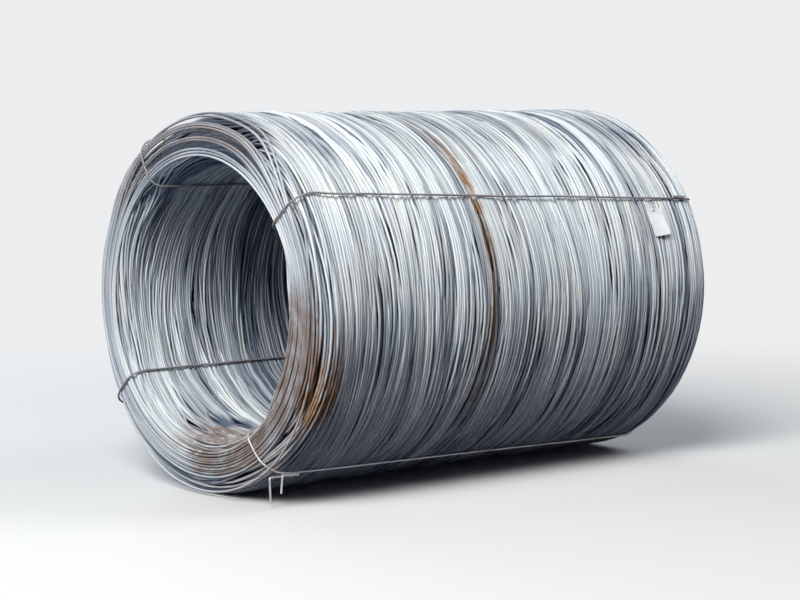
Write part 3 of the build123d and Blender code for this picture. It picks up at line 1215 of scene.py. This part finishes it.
class COIL_OT_mill_tag(bpy.types.Operator):
    """Build the blank tag, curled at its free corner, and the thin wire that holds it"""

    bl_idname = "coil.mill_tag"
    bl_label = "Mill Tag"

    def execute(self, context):
        settings = context.scene.coil_tag
        width, height = settings.width, settings.height
        station = half_length - tag_inset
        deselect_all()
        bpy.ops.mesh.primitive_grid_add(x_subdivisions=14, y_subdivisions=20, size=1, location=(0, 0, 0))
        tag = context.object
        tag.name = tag.data.name = "blank_tag"
        bpy.ops.object.mode_set(mode="EDIT")
        bpy.ops.transform.resize(value=(width, height, 1))
        for x, y in ((1, 1), (1, -1), (-1, 1), (-1, -1)):
            bpy.ops.mesh.select_all(action="SELECT")
            bpy.ops.mesh.bisect(
                plane_co=(x * (width - tag_corner_cut) / 2, y * (height - tag_corner_cut) / 2, 0),
                plane_no=(x, y, 0),
                clear_outer=True,
                use_fill=False,
            )
        bpy.ops.object.mode_set(mode="OBJECT")
        thick = tag.modifiers.new("thickness", "SOLIDIFY")
        thick.thickness = tag_thickness
        thick.offset = 1
        bpy.ops.object.modifier_apply(modifier="thickness")
        hole_up = height / 2 - tag_hole_inset
        bpy.ops.mesh.primitive_cylinder_add(
            vertices=24, radius=tag_hole_radius, depth=0.02, location=(0, hole_up, 0)
        )
        punch = context.object
        only(tag)
        punched = tag.modifiers.new("punched_hole", "BOOLEAN")
        punched.operation = "DIFFERENCE"
        punched.object = punch
        bpy.ops.object.modifier_apply(modifier="punched_hole")
        bpy.data.objects.remove(punch, do_unlink=True)

        outwards = (on_coil(station, tag_angle, 1.0) - on_coil(station, tag_angle, 0.0)).normalized()
        along = Matrix.Rotation(math.radians(tag_tilt), 3, outwards) @ Vector((1, 0, 0))
        upwards = outwards.cross(along)
        centre = on_coil(station, tag_angle, outer_radius + tag_clearance)
        for vertex in tag.data.vertices:
            x, y, z = vertex.co
            free = max(0.0, (x / width + 0.5)) * max(0.0, 0.5 - y / height)
            lift = settings.curl * free**1.6 + tag_wave * math.cos(5.0 * y / height + 1.0) + tag_wave
            vertex.co = centre + along * x + upwards * y + outwards * (z + lift)
        only(tag)
        face_outwards(30)
        tag.data.materials.append(tag_sheet_white(settings))
        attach(tag, "root")
        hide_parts("mill_tag")

        hole = centre + upwards * hole_up
        loop = [hole + outwards * out + upwards * up + along * across for out, up, across in tag_wire_places]
        string = join("tag_wire", [wire("tag_wire", loop, tag_wire_diameter, 1)])
        string.data.materials.clear()
        string.data.materials.append(tie_wire_steel(context.scene.coil_ties, context.scene.coil_turns.rust))
        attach(string, "root")
        return {"FINISHED"}


class COIL_OT_studio(bpy.types.Operator):
    """Build the pale floor, the soft lamps, the bright background and the camera"""

    bl_idname = "coil.studio"
    bl_label = "Studio"

    def execute(self, context):
        settings = context.scene.coil_studio
        scene = context.scene
        deselect_all()
        bpy.ops.mesh.primitive_plane_add(size=80, location=(0, 0, 0))
        floor = context.object
        floor.name = floor.data.name = "studio_floor"
        material, tree, shader = new_material("studio_floor")
        shader.inputs["Roughness"].default_value = 0.9
        shader.inputs["Specular IOR Level"].default_value = 0.1
        far = tree.nodes.new("ShaderNodeEmission")
        far.inputs["Color"].default_value = (*settings.backdrop, 1)
        distance = tree.nodes.new("ShaderNodeVectorMath")
        distance.operation = "LENGTH"
        tree.links.new(place_on_piece(tree), distance.inputs[0])
        away = ramp(tree, distance.outputs["Value"], *floor_fade)
        straight = seen_straight(tree)
        shown = blend_colours(tree, straight, settings.floor_bounce, settings.floor)
        tree.links.new(shown, shader.inputs["Base Color"])
        mix = tree.nodes.new("ShaderNodeMixShader")
        tree.links.new(maths(tree, "MULTIPLY", away, straight), mix.inputs[0])
        tree.links.new(shader.outputs["BSDF"], mix.inputs[1])
        tree.links.new(far.outputs["Emission"], mix.inputs[2])
        tree.links.new(mix.outputs["Shader"], tree.nodes["Material Output"].inputs["Surface"])
        floor.data.materials.append(material)

        world = bpy.data.worlds.new("studio_world")
        scene.world = world
        world.use_nodes = True
        tree = world.node_tree
        tree.nodes.clear()
        output = tree.nodes.new("ShaderNodeOutputWorld")
        mix = tree.nodes.new("ShaderNodeMixShader")
        sky = tree.nodes.new("ShaderNodeBackground")
        sky.inputs["Color"].default_value = (*sky_colour, 1)
        sky.inputs["Strength"].default_value = settings.sky
        behind = tree.nodes.new("ShaderNodeBackground")
        behind.inputs["Color"].default_value = (*settings.backdrop, 1)
        behind.inputs["Strength"].default_value = 1.0
        tree.links.new(seen_straight(tree), mix.inputs[0])
        tree.links.new(sky.outputs[0], mix.inputs[1])
        tree.links.new(behind.outputs[0], mix.inputs[2])
        tree.links.new(mix.outputs[0], output.inputs["Surface"])

        for name, place, size, share, colour in lamps:
            bpy.ops.object.light_add(type="AREA", location=place)
            lamp = context.object
            lamp.name = name
            lamp.data.shape = "SQUARE"
            lamp.data.size = size
            lamp.data.energy = settings.lamp * share
            lamp.data.color = colour
            lamp.rotation_euler = (Vector(lamp_aim) - lamp.location).to_track_quat("-Z", "Y").to_euler()

        bpy.ops.object.camera_add(location=camera_place)
        camera = context.object
        camera.name = "studio_camera"
        towards = Vector(camera_aim) - Vector(camera_place)
        camera.rotation_euler = towards.to_track_quat("-Z", "Y").to_euler()
        camera.data.sensor_width = 36.0
        camera.data.lens = settings.lens
        camera.data.clip_end = 200
        scene.camera = camera
        scene.view_settings.view_transform = "Standard"
        return {"FINISHED"}


class COIL_PT_panel(bpy.types.Panel):
    """Lists the steps that build the coil"""

    bl_idname = "COIL_PT_panel"
    bl_label = "Coil of Wire Rod"
    bl_space_type = "VIEW_3D"
    bl_region_type = "UI"
    bl_category = "Coil"

    def draw(self, context):
        layout = self.layout
        turn_names = ("rod_diameter", "turn_count", "seed", "pale_scale", "warm_scale", "dark_scale", "rust")
        for group, names in (
            (context.scene.coil_turns, turn_names),
            (context.scene.coil_ties, ("wire_diameter", "wire", "worn")),
            (context.scene.coil_tag, ("width", "height", "curl", "face")),
            (context.scene.coil_studio, ("floor", "backdrop", "lamp", "sky", "lens")),
        ):
            column = layout.column(align=True)
            for name in names:
                column.prop(group, name)
        for operator in operators:
            layout.operator(operator.bl_idname)


operators = (
    COIL_OT_core,
    COIL_OT_outside_turns,
    COIL_OT_eye_turns,
    COIL_OT_end_turns,
    COIL_OT_binding_ties,
    COIL_OT_mill_tag,
    COIL_OT_studio,
)
setting_groups = (
    ("coil_turns", CoilTurnSettings),
    ("coil_ties", CoilTieSettings),
    ("coil_tag", CoilTagSettings),
    ("coil_studio", CoilStudioSettings),
)


def register():
    for _, group in setting_groups:
        bpy.utils.register_class(group)
    for operator in operators:
        bpy.utils.register_class(operator)
    bpy.utils.register_class(COIL_PT_panel)
    for name, group in setting_groups:
        setattr(bpy.types.Scene, name, bpy.props.PointerProperty(type=group))


def unregister():
    for name, _ in setting_groups:
        delattr(bpy.types.Scene, name)
    bpy.utils.unregister_class(COIL_PT_panel)
    for operator in reversed(operators):
        bpy.utils.unregister_class(operator)
    for _, group in reversed(setting_groups):
        bpy.utils.unregister_class(group)


def main():
    register()
    bpy.ops.coil.core()
    bpy.ops.coil.outside_turns()
    bpy.ops.coil.eye_turns()
    bpy.ops.coil.end_turns()
    bpy.ops.coil.binding_ties()
    bpy.ops.coil.mill_tag()
    bpy.ops.coil.studio()


if __name__ == "__main__":
    main()
